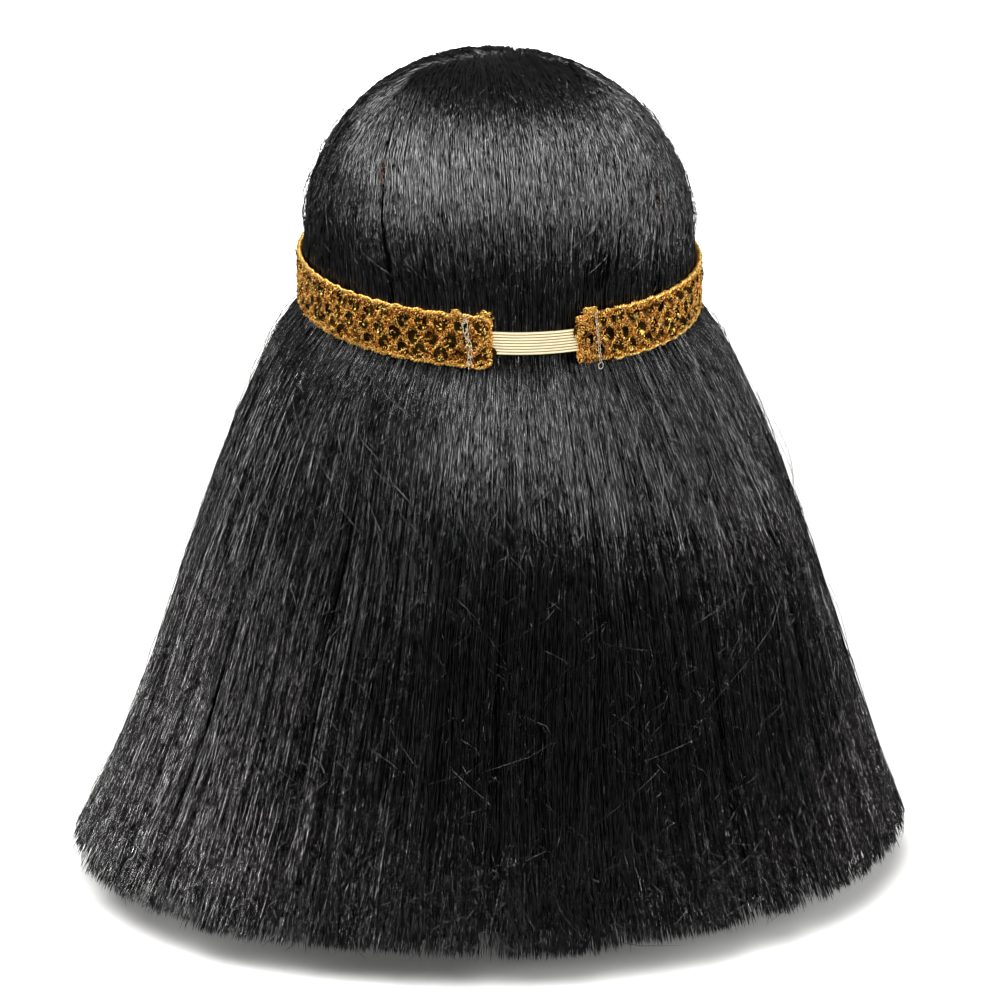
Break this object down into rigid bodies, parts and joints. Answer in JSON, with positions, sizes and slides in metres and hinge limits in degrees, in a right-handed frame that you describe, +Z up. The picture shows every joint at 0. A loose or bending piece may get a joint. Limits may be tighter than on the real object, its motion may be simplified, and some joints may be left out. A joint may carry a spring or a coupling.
{
  "type": "bob wig with sequin headband",
  "caption": "Long straight black bob wig on a stretch cap, worn with a gold sequin braid headband closed by a flat elastic at the back of the head.",
  "frame": {"origin": "the point inside the cap that rests on the top of the wearer's head", "axes": "+Z up, -Y the way the wearer faces, +X the wearer's left"},
  "size_m": [0.3791, 0.2602, 0.368],
  "materials": {
    "hair": "straight black synthetic hair fibre with a grey sheen",
    "cap_net": "black stretch wefting with brown-black thread",
    "sequin_braid": "gold metallised yarn with rows of gold sequins",
    "elastic": "cream corded elastic, matt"
  },
  "bodies": {
    "root": {"wig_cap": "cap_net", "back_hair": "hair", "left_hair": "hair", "right_hair": "hair", "fringe": "hair", "headband_braid": "sequin_braid", "headband_elastic": "elastic"}
  },
  "joints": []
}
